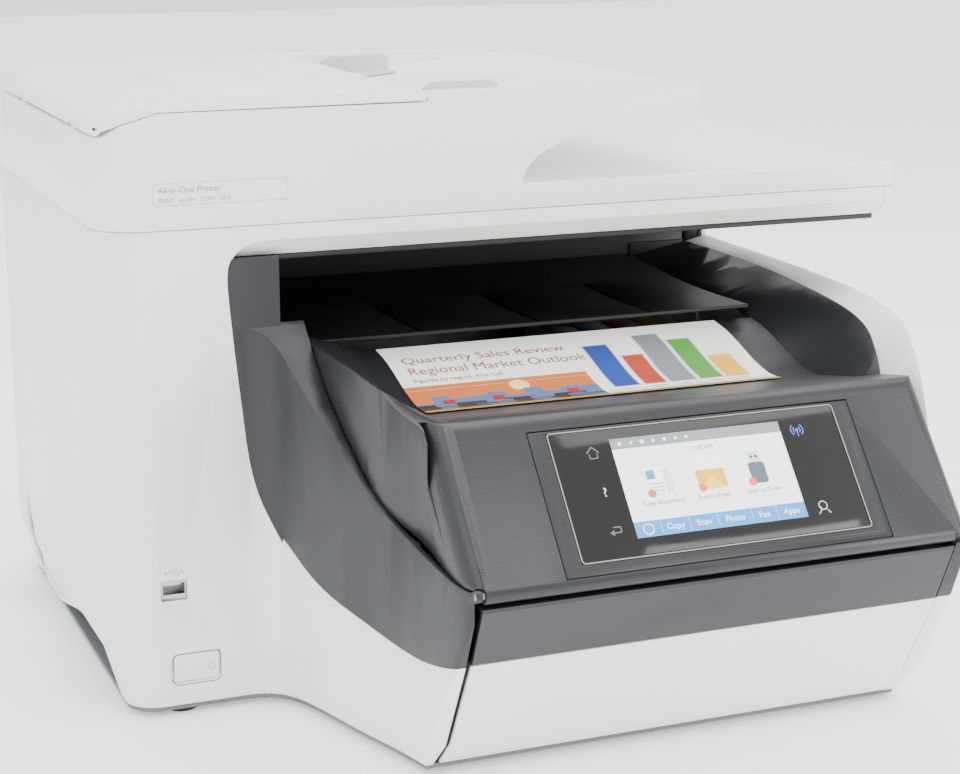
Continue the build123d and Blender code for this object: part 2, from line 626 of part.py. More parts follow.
def build_adf_guide(y0, direction):
    fence = sorted((y0, y0 + direction * 3.5))
    foot = sorted((y0 + direction * 3.4, y0 + direction * 18))
    side = loop((197, 328.6), (243, 332.6), (243, 341), (239, 343.4), (203, 343.4), (197, 340))
    base = loop((197, 328.6), (243, 332.6), (243, 334.2), (197, 330.2))
    return prism_y(*fence, side) + prism_y(*foot, base)


save("lid_shell", build_lid_shell())
save("document_pad", block(40, 408, 54, 282, 275.7, 281))
save("lid_hinge_pins", *[rod_x(x - 7.8, x + HINGE_WIDTH + 7.8, *HINGE_AXIS, 2.0) for x in HINGE_SPOTS])
save("adf_drive_roller", rod_y(DRIVE_ROLLER[0], 10, 274, DRIVE_ROLLER[1], 3)
     + rod_y(DRIVE_ROLLER[0], 60, 224, DRIVE_ROLLER[1], 14))
save("adf_cover", build_adf_cover())
save("adf_hinge_rods", *[rod_y(COVER_HINGE[0], y - 12, y + 22, COVER_HINGE[1], 1.0) for y in LUGS])
save("adf_pick_module", build_adf_pick_module())
save("adf_pick_roller", rod_y(PICK[0], 113, 171, PICK[1], 1.5) + rod_y(PICK[0], 119, 165, PICK[1], 4.2))
save("adf_guide_front", build_adf_guide(44, 1))
save("adf_guide_rear", build_adf_guide(236, -1))


# --- front door with control panel -------------------------------------------------

PANEL_DIR = Vector(0, math.cos(math.radians(PANEL_ANGLE)), math.sin(math.radians(PANEL_ANGLE)))
PANEL_OUT = Vector(0, -PANEL_DIR.Z, PANEL_DIR.Y)
CENTRE_SECTION = (185.6, 372.2)
GLASS = (196.4, 361.4, 11.0, 81.5)
RAMP = [(-66, 179.3), (-56, 177.4), (-44, 177.2), (-24, 181.6), (-5, 188.2), (13, 193.2), (26.5, 195.2)]
LEFT_RIM = [(-66, 220.4), (-56, 220.7), (-44, 220.4), (-24, 218), (-5, 216.1), (13, 214.8), (26.5, 214.3)]
RIM_FADE = (100.0, 150.0)     # the rim beside the sheet falls to the ramp between these
DOOR_LEFT = 133.0
ROUND_LEFT, ROUND_RIGHT = 15.0, 8.0


def panel_block(x0, x1, s0, s1, d0, d1):
    """A block in the control panel's own plane: s up the slope, d outwards from its face."""
    plane = Plane(origin=Vector((x0 + x1) / 2, -186.3, NOSE_BOTTOM), x_dir=(1, 0, 0), z_dir=PANEL_OUT)
    return plane * Pos(0, (s0 + s1) / 2, (d0 + d1) / 2) * Box(x1 - x0, s1 - s0, d1 - d0)


def door_face(x, ramp, middle, drop):
    """Side view of the door at x: sloping panel, rounded brow and what lies behind it."""
    ramp = [(y, z - drop) for y, z in ramp]
    sy, sz = drop * 0.766, -drop * 0.643
    foot = (-186.3 + sy, NOSE_BOTTOM + sz)
    brow = [(y + sy * 0.7, z - drop) for y, z in ((-130.2, 185.5), (-127.6, 188.4), (-124, 190.0))]
    if drop:
        brow[0] = (-130.2 + sy, 185.5 + sz)
    return face_of(on_x(x), ("line", foot, brow[0]), ("curve", *brow),
                   ("line", brow[-1], (middle[0], middle[1] - drop), ramp[0]), ("curve", *ramp),
                   ("line", ramp[-1], (ramp[-1][0], 100), (foot[0], 100), foot))


def door_body(drop=0.0):
    """The door's full form before it is cut to its outline: a rim on the left, fading to the ramp."""
    outer, inner = RIM_FADE
    rim = door_face(outer, LEFT_RIM, (-95, 215.3), drop)
    flat = door_face(inner, RAMP, (-95, 184.65), drop)
    return loft([rim, flat], ruled=True) + pushed(flat, (440 - inner, 0, 0))


def end_round(x, inward, radius, wall=0.0):
    """What is cut from the panel's end to round it off along the slope."""
    middle = x + inward * radius
    corner = panel_block(min(x - inward, middle), max(x - inward, middle), -20, 98, -radius, 2)
    plane = Plane(origin=Vector(middle, -186.3, NOSE_BOTTOM), x_dir=(1, 0, 0), z_dir=PANEL_OUT)
    return corner - plane * Pos(0, 40, -radius) * Rot(90, 0, 0) * Cylinder(radius - wall, 140)


def build_door_shell():
    solid = door_body() & door_plan()
    solid -= end_round(DOOR_LEFT, 1, ROUND_LEFT) + end_round(NOSE_RIGHT, -1, ROUND_RIGHT)
    inner = door_body(WALL) & door_plan(WALL)
    inner -= end_round(DOOR_LEFT, 1, ROUND_LEFT, WALL) + end_round(NOSE_RIGHT, -1, ROUND_RIGHT, WALL)
    shell = solid - inner
    # the left side ends above the fixed cheek; between the ears a lip turns about the hinge line
    foot = [(y, z + 0.8) for y, z in CREASE]
    above_crease = prism_x(90, 150, ("curve", *foot), ("line", foot[-1], (-200, 120), (-200, 240), (60, 240), foot[0]))
    above_crease += block(90, 150, -62, 60, 168, 240)
    right_part = block(150, 450, -200, 60, NOSE_BOTTOM + 0.3, 230)
    rear_trim = block(150, DOOR_RIGHT, -93, 60, 160, 230) + block(150, 450, -200, -92.9, 100, 230)
    shell = (shell & above_crease) + (shell & right_part & rear_trim)
    hinge_y, hinge_z = DOOR_HINGE
    shell -= rod_x(100, DRAWER_LEFT + 0.6, hinge_y, hinge_z, 3.8)
    shell -= rod_x(DRAWER_RIGHT - 0.6, 440, hinge_y, hinge_z, 3.8)
    for x in (DRAWER_LEFT + 1, DRAWER_RIGHT - 8):
        ear = rod_x(x, x + 7, hinge_y, hinge_z, 4.4) + prism_x(
            x, x + 7, loop((-184, 120.6), (-176, 130), (-165, 135), (-172, 119), (hinge_y, hinge_z)))
        shell += ear
    shell += rod_x(DRAWER_LEFT + 1, DRAWER_RIGHT - 1, hinge_y, hinge_z, 4.4)
    shell -= rod_x(120, 440, hinge_y, hinge_z, 2 + FIT)
    return shell - panel_block(CENTRE_SECTION[0] - 0.4, CENTRE_SECTION[1] + 0.4, 3, 84.4, -6, 6)


def build_control_panel():
    panel = panel_block(*CENTRE_SECTION, 3.4, 84, -WALL, 0)
    x0, x1, s0, s1 = GLASS
    panel -= panel_block(x0 - 0.6, x1 + 0.6, s0 - 0.6, s1 + 0.6, -1.6, 1)
    return panel - panel_block(226, 330, 18, 78, -5, 1)


def build_sheet():
    lift, thick = 0.25, 0.4
    low = [(y, z + lift) for y, z in RAMP[1:]]
    low = [(-57.5, 178.2)] + low[1:-1] + [(25.5, 195.4)]
    high = [(y, z + thick) for y, z in reversed(low)]
    return prism_x(160, 376, ("curve", *low), ("line", low[-1], high[0]), ("curve", *high), ("line", high[-1], low[0]))


save("front_door", build_door_shell())
save("control_panel", build_control_panel())
save("display_glass", panel_block(GLASS[0], GLASS[1], GLASS[2], GLASS[3], -1.5, 0.25))
save("display_module", panel_block(227, 329, 19, 77, -8, -1.8))
save("door_hinge_pins", rod_x(137.6, 148, *DOOR_HINGE, 2), rod_x(404, 417.8, *DOOR_HINGE, 2))
save("printed_sheet", build_sheet())


# --- paper drawer ---------------------------------------------------------------

def slant(x0, x1, points, thick):
    """A plate that follows points in side view, thick towards the back."""
    back = [(y + thick, z) for y, z in reversed(points)]
    return prism_x(x0, x1, loop(*points, *back))


def build_drawer_front():
    front = slant(DRAWER_LEFT, DRAWER_RIGHT, [(-169.2, DARK_LINE - 0.3), (-140, 24), (-123.4, 7.4)], 3.2)
    return front


def build_drawer_band():
    band = slant(DRAWER_LEFT, DRAWER_RIGHT, [(-184.3, DRAWER_TOP - 0.6), (-169.2, DARK_LINE + 0.2)], 3.2)
    return band + block(DRAWER_LEFT, DRAWER_RIGHT, -184, -174, DRAWER_TOP - 3, DRAWER_TOP - 0.6)


def build_drawer_tray():
    tray = block(143, 409, -119, 232, 7.2, 60) - block(145.5, 406.5, -121, 229.5, 9.7, 70)
    inner_front = slant(143, 409, [(-177, 105), (-165.6, DARK_LINE), (-136.2, 24), (-119, 7.2)], 2.4)
    sides = prism_x(143, 145.5, loop((-164, 77), (-134, 24), (-117, 7.2), (-110, 7.2), (-110, 60), (-150, 77)))
    other = prism_x(406.5, 409, loop((-164, 77), (-134, 24), (-117, 7.2), (-110, 7.2), (-110, 60), (-150, 77)))
    rib = block(145, 407, -118.8, -115, 7.2, 9.7)
    tray = tray + inner_front + sides + other + rib
    for x in range(200, 360, 30):
        tray -= block(x, x + 12, -60, 180, 9.0, 10)
    return tray


def build_width_guide(x, direction):
    fence = sorted((x, x - direction * 3))
    foot = sorted((x - direction * 0.1, x + direction * 26))
    piece = block(*fence, -50, 60, 10.1, 46) + block(*foot, -8, 22, 10.1, 11.6)
    return piece


save("drawer_front", build_drawer_front())
save("drawer_band", build_drawer_band())
save("drawer_tray", build_drawer_tray())
save("width_guide_left", build_width_guide(167.6, 1))
save("width_guide_right", build_width_guide(384.4, -1))
save("length_guide", block(252, 300, -96, -93, 10.1, 42) + block(262, 290, -93.1, -70, 10.1, 11.6))


# --- print mechanism ---------------------------------------------------------------

SHAFT = (166.0, 140.0)
FEED = (120.0, 86.0)
EXIT = (62.0, 92.0)
FEED_TEETH, PINION_TEETH = 36, 12
MODULE = 1.0
GEAR_X = (440.0, 446.0)
PLATES = ((104.0, 106.0), (449.0, 451.0))
GEAR_GAP = (FEED_TEETH + PINION_TEETH) * MODULE / 2 + 0.2
PINION = (FEED[0] + GEAR_GAP, FEED[1])


def gear(x0, x1, centre, teeth, turn):
    """A spur gear with straight-sided teeth, its axle along X; turn puts a tooth at that angle from +y."""
    pitch = teeth * MODULE / 2
    outer, root = pitch + 0.85 * MODULE, pitch - 1.15 * MODULE
    points = []
    for i in range(teeth):
        middle = math.radians(turn) + 2 * math.pi * i / teeth
        for radius, side in ((root, -0.34), (outer, -0.13), (outer, 0.13), (root, 0.34)):
            angle = middle + side * 2 * math.pi / teeth
            points.append((centre[0] + radius * math.cos(angle), centre[1] + radius * math.sin(angle)))
    return prism_x(x0, x1, loop(*points))


def build_chassis():
    plates = []
    for x0, x1 in PLATES:
        plate = block(x0, x1, 48, 196, 62, 188)
        plate -= rod_x(x0 - 1, x1 + 1, *FEED, 3 + FIT) + rod_x(x0 - 1, x1 + 1, *EXIT, 3 + FIT)
        plate -= rod_x(x0 - 1, x1 + 1, *SHAFT, 6.0)
        plates.append(plate)
    return plates


def build_carriage():
    body = block(300, 396, 52, 152, 108, 154) - block(303, 393, 55, 149, 111.5, 160)
    body += block(300, 396, 151.9, 178, 128, 152)
    body -= rod_x(290, 400, *SHAFT, 6 + FIT)
    for x in (324.1, 346.1, 368.1):
        body += block(x, x + 1.2, 54, 150, 111, 146)
    return body


def build_cartridge(x):
    tank = block(x, x + 19.5, 57, 147, 112, 178)
    tank = fillet(tank.edges().filter_by(Axis.X), 2)
    tank += block(x + 5, x + 14.5, 57.5, 66, 177, 186)
    return tank


save("chassis_plates", *build_chassis())
save("guide_shaft", rod_x(102, 453, *SHAFT, 6))
save("guide_rail", block(106.4, 448.6, 184, 186, 96, 186) + block(106.4, 448.6, 184, 194, 96, 98))
save("platen", block(112, 434, 74, 108, 92, 98))
save("feed_roller", rod_x(104, 452, *FEED, 3) + rod_x(112, 434, *FEED, 7) + gear(*GEAR_X, FEED, FEED_TEETH, 0))
save("motor_pinion", gear(*GEAR_X, PINION, PINION_TEETH, 180 + 180 / PINION_TEETH) + rod_x(434, 446, *PINION, 2))
exit_wheels = rod_x(104, 452, *EXIT, 3)
for wheel_x in range(150, 420, 45):
    exit_wheels += rod_x(wheel_x, wheel_x + 14, *EXIT, 6)
save("exit_roller", exit_wheels)
save("feed_motor", rod_x(396, 432, *PINION, 15) - rod_x(420, 433, *PINION, 2.2 + FIT))
save("carriage", build_carriage())
for number, ink in enumerate(("black", "cyan", "magenta", "yellow")):
    save(f"ink_cartridge_{ink}", build_cartridge(304 + number * 22))
save("main_board", block(12, 13.6, 70, 262, 80, 200) + block(13.5, 22, 200, 250, 110, 180)
     + block(13.5, 17, 110, 150, 120, 160) + block(13.5, 20, 80, 95, 90, 150))
save("power_supply", rounded(24, 84, 150, 285, 10, 44, 3))
screws = []
for screw_x, screw_z in ((60, 230), (240, 230), (430, 230), (100, 40), (240, 40), (400, 50)):
    head = rod_y(screw_x, 330.05, 331.4, screw_z, 3.2)
    screws.append(head - block(screw_x - 2.2, screw_x + 2.2, 330.9, 332, screw_z - 0.4, screw_z + 0.4))
save("case_screws", *screws)
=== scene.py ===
"""Looks of a desktop all-in-one inkjet printer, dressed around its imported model.

Each sub-assembly is a class that knows its sizes, builds its meshes and dresses
them.  Lengths are in metres in the model's own frame; Frame.at() takes the
millimetres of the housing's corner frame (x from the left side, y from the flat
front face, z from the table), in which the machine was designed.
"""
import logging
import math
from dataclasses import dataclass
from enum import Enum

import bpy
from mathutils import Matrix, Vector


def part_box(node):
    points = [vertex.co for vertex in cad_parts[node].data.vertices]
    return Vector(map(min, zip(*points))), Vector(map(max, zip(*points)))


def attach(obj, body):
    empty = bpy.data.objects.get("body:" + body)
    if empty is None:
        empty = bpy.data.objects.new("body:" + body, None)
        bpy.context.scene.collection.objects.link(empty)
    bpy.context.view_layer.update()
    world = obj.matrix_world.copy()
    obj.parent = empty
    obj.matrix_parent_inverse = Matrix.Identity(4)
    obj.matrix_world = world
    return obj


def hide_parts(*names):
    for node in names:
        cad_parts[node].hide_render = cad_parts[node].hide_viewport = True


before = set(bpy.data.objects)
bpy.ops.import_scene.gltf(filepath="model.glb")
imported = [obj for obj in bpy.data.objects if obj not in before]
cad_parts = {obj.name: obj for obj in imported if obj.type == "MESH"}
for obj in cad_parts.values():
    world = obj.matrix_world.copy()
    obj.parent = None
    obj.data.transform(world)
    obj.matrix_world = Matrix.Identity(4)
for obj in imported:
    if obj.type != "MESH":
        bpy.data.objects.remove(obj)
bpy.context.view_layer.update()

LOG = logging.getLogger("printer")
MM = 0.001

Point = tuple[float, float, float]
Socket = bpy.types.NodeSocket

WEAVE_PITCH = 1.5 * MM       # spacing of the pits, across and up the slope
WEAVE_DEPTH = 0.9 * MM       # how far off the slope's plane the weave still counts
WEAVE_FOOT = 2.5 * MM        # the weave starts this far up the slope
WEAVE_TOP = 89.0 * MM        # and ends here
# painted shade: the colour given to the pits, darker than the face, standing in for the shade that falls in
# them
WEAVE_PIT_SHADE = "#141417"
SOFT_EDGE = 0.7              # usual radius of a moulded edge, in millimetres
CREASE = 38.0                # edges sharper than this, in degrees, are softened


@dataclass(frozen=True)
class Frame:
    """The housing's corner frame, placed in the model's frame."""

    half_width: float = 243.0
    face: float = -78.0

    def at(self, x: float, y: float, z: float) -> Vector:
        """Turn corner-frame millimetres into a point in the model's frame."""
        return Vector(((x - self.half_width) * MM, (y + self.face) * MM, z * MM))


@dataclass(frozen=True)
class PanelPlane:
    """The sloping face of the control panel: x across, s up the slope, d outwards."""

    foot_y: float = -186.3
    foot_z: float = 118.6
    degrees: float = 50.0

    def at(self, x: float, s: float, d: float = 0.0) -> Vector:
        """A point on the slope, in the model's frame."""
        c, n = math.cos(math.radians(self.degrees)), math.sin(math.radians(self.degrees))
        return HOUSING.at(x, self.foot_y + s * c - d * n, self.foot_z + s * n + d * c)


@dataclass(frozen=True)
class FrontPlane:
    """An upright face looking forward: x across, z up, d outwards."""

    y: float = 0.0

    def at(self, x: float, z: float, d: float = 0.0) -> Vector:
        """A point on or just off the face, in the model's frame."""
        return HOUSING.at(x, self.y - d, z)


HOUSING = Frame()
PANEL = PanelPlane()
FACE = FrontPlane()


# --- materials ---------------------------------------------------------------

def linear(code: str) -> tuple[float, float, float, float]:
    """Turn an sRGB hex colour into the linear colour that shaders use.

    Args:
        code: six hex digits after a hash mark.

    Returns:
        Linear red, green, blue and an alpha of one.
    """
    parts = [int(code[i:i + 2], 16) / 255 for i in (1, 3, 5)]
    values = [p / 12.92 if p <= 0.04045 else ((p + 0.055) / 1.055) ** 2.4 for p in parts]
    return (*values, 1.0)


def add(tree: bpy.types.NodeTree, kind: str, settings: dict | None = None,
        **inputs: object) -> bpy.types.Node:
    """Add one node with its settings and links.

    Args:
        tree: the node tree it goes in.
        kind: the node's type name.
        settings: attributes of the node, and its inputs by number or spaced name.
        inputs: inputs by name, with underscores for spaces; a socket is linked, a value is set.

    Returns:
        The new node.
    """
    made = tree.nodes.new(kind)
    sockets = dict(inputs)
    for name, value in (settings or {}).items():
        if isinstance(name, int) or name in made.inputs:
            sockets[name] = value
        else:
            setattr(made, name, value)
    for name, value in sockets.items():
        socket = made.inputs[name if isinstance(name, int) else name.replace("_", " ")]
        if isinstance(value, bpy.types.NodeSocket):
            tree.links.new(value, socket)
        else:
            socket.default_value = value
    return made


def new_material(name: str) -> tuple[bpy.types.Material, bpy.types.NodeTree, bpy.types.Node]:
    """Start a material that holds only its output node.

    Args:
        name: the material's name.

    Returns:
        The material, its node tree and its output node.
    """
    material = bpy.data.materials.new(name)
    material.use_nodes = True
    tree = material.node_tree
    tree.nodes.clear()
    return material, tree, add(tree, "ShaderNodeOutputMaterial")


@dataclass(frozen=True)
class Moulded:
    """Injection-moulded plastic: a faint spark-eroded grain in the gloss and the surface."""

    name: str
    colour: str
    shade: str
    roughness: float = 0.42
    grain_mm: float = 0.6
    relief: float = 0.03
    ior: float = 1.5
    coat: float = 0.0
    dots: bool = False

    def build(self) -> bpy.types.Material:
        """Make the material: two close tones, mottled gloss and a fine grain.

        Returns:
            The finished material.
        """
        material, tree, output = new_material(self.name)
        place = add(tree, "ShaderNodeTexCoord").outputs["Object"]
        cloud = add(tree, "ShaderNodeTexNoise", Vector=place, Scale=9.0, Detail=3.0)
        tone = add(tree, "ShaderNodeMix",
                   {"data_type": "RGBA", 6: linear(self.colour), 7: linear(self.shade)},
                   Factor=cloud.outputs["Fac"])
        gloss = add(tree, "ShaderNodeMapRange",
                    {"From Min": 0.3, "From Max": 0.7, "To Min": self.roughness - 0.04,
                     "To Max": self.roughness + 0.05}, Value=cloud.outputs["Fac"])
        grain = add(tree, "ShaderNodeTexNoise", Vector=place, Scale=1 / (self.grain_mm * MM), Detail=2.0)
        bump = add(tree, "ShaderNodeBump", Strength=self.relief, Distance=0.0004, Height=grain.outputs["Fac"])
        colour, normal = tone.outputs[2], bump.outputs["Normal"]
        if self.dots:
            colour, normal = self.weave(tree, place, colour, normal)
        shader = add(tree, "ShaderNodeBsdfPrincipled",
                     {"Base Color": colour, "Coat Weight": self.coat, "Coat Roughness": 0.15},
                     Roughness=gloss.outputs["Result"], IOR=self.ior, Normal=normal)
        tree.links.new(shader.outputs[0], output.inputs[0])
        return material

    def weave(self, tree: bpy.types.NodeTree, place: Socket, colour: Socket,
              normal: Socket) -> tuple[Socket, Socket]:
        """Add the grid of tiny square pits that covers the sloping face: bumped pits, each darkened in colour
        as painted shade.

        Args:
            tree: the material's tree.
            place: object coordinates.
            colour: colour without the grid.
            normal: normal without the grid.

        Returns:
            Colour and normal with the grid, on the sloping face only.
        """
        foot = HOUSING.at(0, PANEL.foot_y, PANEL.foot_z)
        turned = add(tree, "ShaderNodeMapping", {"vector_type": "TEXTURE"}, Vector=place, Location=foot,
                     Rotation=(math.radians(PANEL.degrees), 0, 0))
        axes = add(tree, "ShaderNodeSeparateXYZ", Vector=turned.outputs[0])
        pits = []
        for axis in ("X", "Y"):
            wave = add(tree, "ShaderNodeMath",
                       {"operation": "PINGPONG", 0: axes.outputs[axis], 1: WEAVE_PITCH / 2})
            edge = add(tree, "ShaderNodeMapRange",
                       {"interpolation_type": "SMOOTHSTEP", "From Min": WEAVE_PITCH * 0.18,
                        "From Max": WEAVE_PITCH * 0.34}, Value=wave.outputs[0])
            pits.append(edge.outputs[0])
        up = axes.outputs["Y"]
        off = add(tree, "ShaderNodeMath", {"operation": "ABSOLUTE", 0: axes.outputs["Z"]})
        limits = (("LESS_THAN", off.outputs[0], WEAVE_DEPTH), ("GREATER_THAN", up, WEAVE_FOOT),
                  ("LESS_THAN", up, WEAVE_TOP))
        mask = add(tree, "ShaderNodeMath", {"operation": "MULTIPLY", 0: pits[0], 1: pits[1]})
        for test, value, limit in limits:
            inside = add(tree, "ShaderNodeMath", {"operation": test, 0: value, 1: limit})
            mask = add(tree, "ShaderNodeMath", {"operation": "MULTIPLY", 0: inside.outputs[0],
                                                1: mask.outputs[0]})
        # painted shade: the pits are darkened in colour as well as bumped
        dark = add(tree, "ShaderNodeMix", {"data_type": "RGBA", 6: colour, 7: linear(WEAVE_PIT_SHADE)},
                   Factor=mask.outputs[0])
        bump = add(tree, "ShaderNodeBump", {"invert": True}, Strength=0.5, Distance=0.0003,
                   Height=mask.outputs[0], Normal=normal)
        return dark.outputs[2], bump.outputs["Normal"]


@dataclass(frozen=True)
class Plain:
    """A finish of one colour with fine mottling of its gloss: glass, metal, rubber, film and prints."""

    name: str
    colour: str
    roughness: float = 0.5
    metallic: float = 0.0
    clear: float = 0.0
    glow: float = 0.0
    scale: float = 60.0

    def build(self) -> bpy.types.Material:
        """Make the material: one colour, its gloss mottled.

        Returns:
            The finished material.
        """
        material, tree, output = new_material(self.name)
        place = add(tree, "ShaderNodeTexCoord").outputs["Object"]
        cloud = add(tree, "ShaderNodeTexNoise", Vector=place, Scale=self.scale, Detail=4.0)
        gloss = add(tree, "ShaderNodeMapRange", {"To Min": max(0.02, self.roughness - 0.05),
                                                 "To Max": self.roughness + 0.05}, Value=cloud.outputs["Fac"])
        shader = add(tree, "ShaderNodeBsdfPrincipled", {
            "Base Color": linear(self.colour), "Metallic": self.metallic, "Transmission Weight": self.clear,
            "Emission Color": linear(self.colour), "Emission Strength": self.glow},
            Roughness=gloss.outputs["Result"])
        tree.links.new(shader.outputs[0], output.inputs[0])
        return material


class Look(Enum):
    """The finishes of the machine's pieces."""

    # ABS moulded in a spark-eroded tool: soft sheen, a grain that only breaks up the highlights
    WHITE = Moulded("ABS_white_fine_grain", "#F3F3F2", "#EFEFEE", 0.38)
    # ABS with less grain: smoother and a little brighter than the body's white
    LID = Moulded("ABS_white_satin", "#F6F6F6", "#F3F3F3", 0.30, relief=0.015)
    # ABS with a woven grid of tiny pits moulded into the sloping face; the pits carry painted shade, a darker
    # colour than the face
    CHARCOAL = Moulded("ABS_charcoal_satin", "#2A2A2F", "#141417", 0.36, dots=True)
    # ABS with a matt surface: dark with a wide, weak highlight
    BAND = Moulded("ABS_charcoal_matt", "#1F1F23", "#1B1B1F", 0.42)
    # ABS for parts inside the cavity: near black with a fine grain
    BLACK = Moulded("ABS_black_fine_grain", "#131315", "#101012", 0.45)
    # ABS liner: the dullest black, so that the cavity stays deep
    LINER = Moulded("ABS_black_matt", "#141416", "#111113", 0.5)
    # ABS of trays and pans: plain mid grey
    GREY = Moulded("ABS_mid_grey", "#6D6F73", "#686A6E", 0.5)
    # ABS of the feeder's paper guides: light grey against its white cover
    PALE_GREY = Moulded("ABS_pale_grey", "#C9CBCE", "#C4C6C9", 0.45)
    # Glass printed black on its back: mirror-sharp reflections over black
    GLASS_BLACK = Plain("glass_back_printed_black", "#0C0C0D", 0.06)
    # Float glass: clear, with a faint green cast
    GLASS_CLEAR = Plain("float_glass_clear", "#E6F0EE", 0.04, clear=0.9)
    # Zinc-plated steel: cool grey metal with a soft shine
    STEEL = Plain("steel_zinc_plated", "#B8B9BC", 0.3, metallic=1.0)
    # Cut brass: yellow metal with a soft shine
    BRASS = Plain("brass_cut", "#B8904A", 0.3, metallic=1.0)
    # Moulded rubber: black with almost no shine
    RUBBER = Plain("rubber_moulded_black", "#1C1C1D", 0.75)
    # Polyester film over foam: an even, dull white
    FOAM = Plain("polyester_film_white", "#F4F4F1", 0.6)
    # Glass-epoxy board under solder mask: glossy dark green
    BOARD = Plain("glass_epoxy_solder_mask", "#12512E", 0.35)
    # Plain 80 gsm paper: bright and dull
    PAPER = Plain("paper_plain_80gsm", "#F7F6F3", 0.8)
    # Polypropylene ink cartridges, moulded in the colour of their ink, with a low shine
    INK_BLACK = Plain("polypropylene_black", "#17171A", 0.3)
    INK_CYAN = Plain("polypropylene_cyan", "#1592C4", 0.3)
    INK_MAGENTA = Plain("polypropylene_magenta", "#C2246F", 0.3)
    INK_YELLOW = Plain("polypropylene_yellow", "#E8C51C", 0.3)


SOFT_EDGES = {Look.GLASS_CLEAR: 0.2, Look.RUBBER: 0.3, Look.STEEL: 0.15, Look.PAPER: 0.05, Look.BOARD: 0.1,
              Look.BRASS: 0.1, Look.GLASS_BLACK: 0.3, Look.PALE_GREY: 0.4, Look.BAND: 0.5}
BUILT: dict[str, bpy.types.Material] = {}


def finish(look: Look) -> bpy.types.Material:
    """The look's material, built on first use."""
    if look.name not in BUILT:
        BUILT[look.name] = look.value.build()
    return BUILT[look.name]


def print_ink(code: str, glow: float = 0.0, roughness: float = 0.5) -> bpy.types.Material:
    """A flat printed or lit colour, built once for each colour.

    Args:
        code: sRGB hex colour.
        glow: light given off, for what the display shows.
        roughness: gloss of the print.

    Returns:
        The material.
    """
    key = f"{code}_{glow:g}"
    if key not in BUILT:
        name = ("display_pixels_" if glow else "screen_print_") + code[1:]
        BUILT[key] = Plain(name, code, roughness, glow=glow).build()
    return BUILT[key]


# --- mesh helpers ------------------------------------------------------------

def link(name: str, mesh: bpy.types.Mesh, material: bpy.types.Material) -> bpy.types.Object:
    """Put a mesh in the scene as an object at the origin.

    Args:
        name: the object's name.
        mesh: its mesh.
        material: its only material.

    Returns:
        The new object.
    """
    thing = bpy.data.objects.new(name, mesh)
    bpy.context.scene.collection.objects.link(thing)
    thing.data.materials.clear()
    thing.data.materials.append(material)
    return thing


def dress_cad(node: str, look: Look, edge_mm: float) -> bpy.types.Object:
    """Give a CAD node its finish, and soften its edges.

    Args:
        node: the node's name.
        look: its finish.
        edge_mm: radius of the softened edges.

    Returns:
        The node's object.
    """
    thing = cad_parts[node]
    thing.data.materials.clear()
    thing.data.materials.append(finish(look))
    thing.data.polygons.foreach_set("use_smooth", [True] * len(thing.data.polygons))
    thing.modifiers.new("weld", "WELD").merge_threshold = 2e-5
    flat = thing.modifiers.new("flatten", "DECIMATE")
    flat.decimate_type = "DISSOLVE"
    flat.angle_limit = math.radians(0.6)
    bevel = thing.modifiers.new("edges", "BEVEL")
    bevel.width = edge_mm * MM
    bevel.segments = 2
    bevel.limit_method = "ANGLE"
    bevel.angle_limit = math.radians(CREASE)
    bevel.harden_normals = True
    return thing


# --- sub-assemblies whose shapes come from the model ------------------------------

@dataclass(frozen=True)
class SubAssembly:
    """Nodes that come apart as one group."""

    edge_mm: float = SOFT_EDGE
    pieces: tuple[tuple[Look, str], ...] = ()

    def dress(self) -> None:
        """Give every node of the group its finish and soft edges."""
        for look, nodes in self.pieces:
            for node in nodes.split():
                dress_cad(node, look, SOFT_EDGES.get(look, self.edge_mm))
                LOG.info("%s: %s in %s", type(self).__name__, node, look.value.name)


@dataclass(frozen=True)
class Body(SubAssembly):
    """Covers, cheeks, cavity, pan and feet."""

    pieces: tuple[tuple[Look, str], ...] = (
        (Look.WHITE, "left_side_cover right_side_cover rear_cover rear_access_door front_bezel power_button"),
        (Look.BAND, "left_cheek right_cheek"), (Look.BLACK, "output_deck"), (Look.LINER, "cavity_liner"),
        (Look.GREY, "base_pan"), (Look.RUBBER, "rubber_feet"), (Look.STEEL, "case_screws"))


@dataclass(frozen=True)
class Scanner(SubAssembly):
    """Case, glass and scan bar under the lid."""

    pieces: tuple[tuple[Look, str], ...] = (
        (Look.WHITE, "scanner_case scanner_top_frame"), (Look.LINER, "scanner_underside"),
        (Look.BLACK, "scan_bar"), (Look.GLASS_CLEAR, "scanner_glass"), (Look.STEEL, "scan_rail"))


@dataclass(frozen=True)
class Lid(SubAssembly):
    """The lid, its hinges and the pad that presses on the glass."""

    pieces: tuple[tuple[Look, str], ...] = (
        (Look.LID, "lid_shell"), (Look.GREY, "lid_hinges"), (Look.STEEL, "lid_hinge_pins"),
        (Look.FOAM, "document_pad"))


@dataclass(frozen=True)
class Feeder(SubAssembly):
    """The document feeder on the lid."""

    pieces: tuple[tuple[Look, str], ...] = (
        (Look.LID, "adf_cover"), (Look.GREY, "adf_pick_module"), (Look.STEEL, "adf_hinge_rods"),
        (Look.PALE_GREY, "adf_guide_front adf_guide_rear"), (Look.RUBBER, "adf_drive_roller adf_pick_roller"))


@dataclass(frozen=True)
class Door(SubAssembly):
    """The front door with its control panel and the page on its ramp."""

    pieces: tuple[tuple[Look, str], ...] = (
        (Look.CHARCOAL, "front_door control_panel"), (Look.GLASS_BLACK, "display_glass display_module"),
        (Look.STEEL, "door_hinge_pins"), (Look.PAPER, "printed_sheet"))


@dataclass(frozen=True)
class Drawer(SubAssembly):
    """The paper drawer and its guides."""

    pieces: tuple[tuple[Look, str], ...] = (
        (Look.WHITE, "drawer_front"), (Look.BAND, "drawer_band"),
        (Look.GREY, "drawer_tray width_guide_left width_guide_right length_guide"))


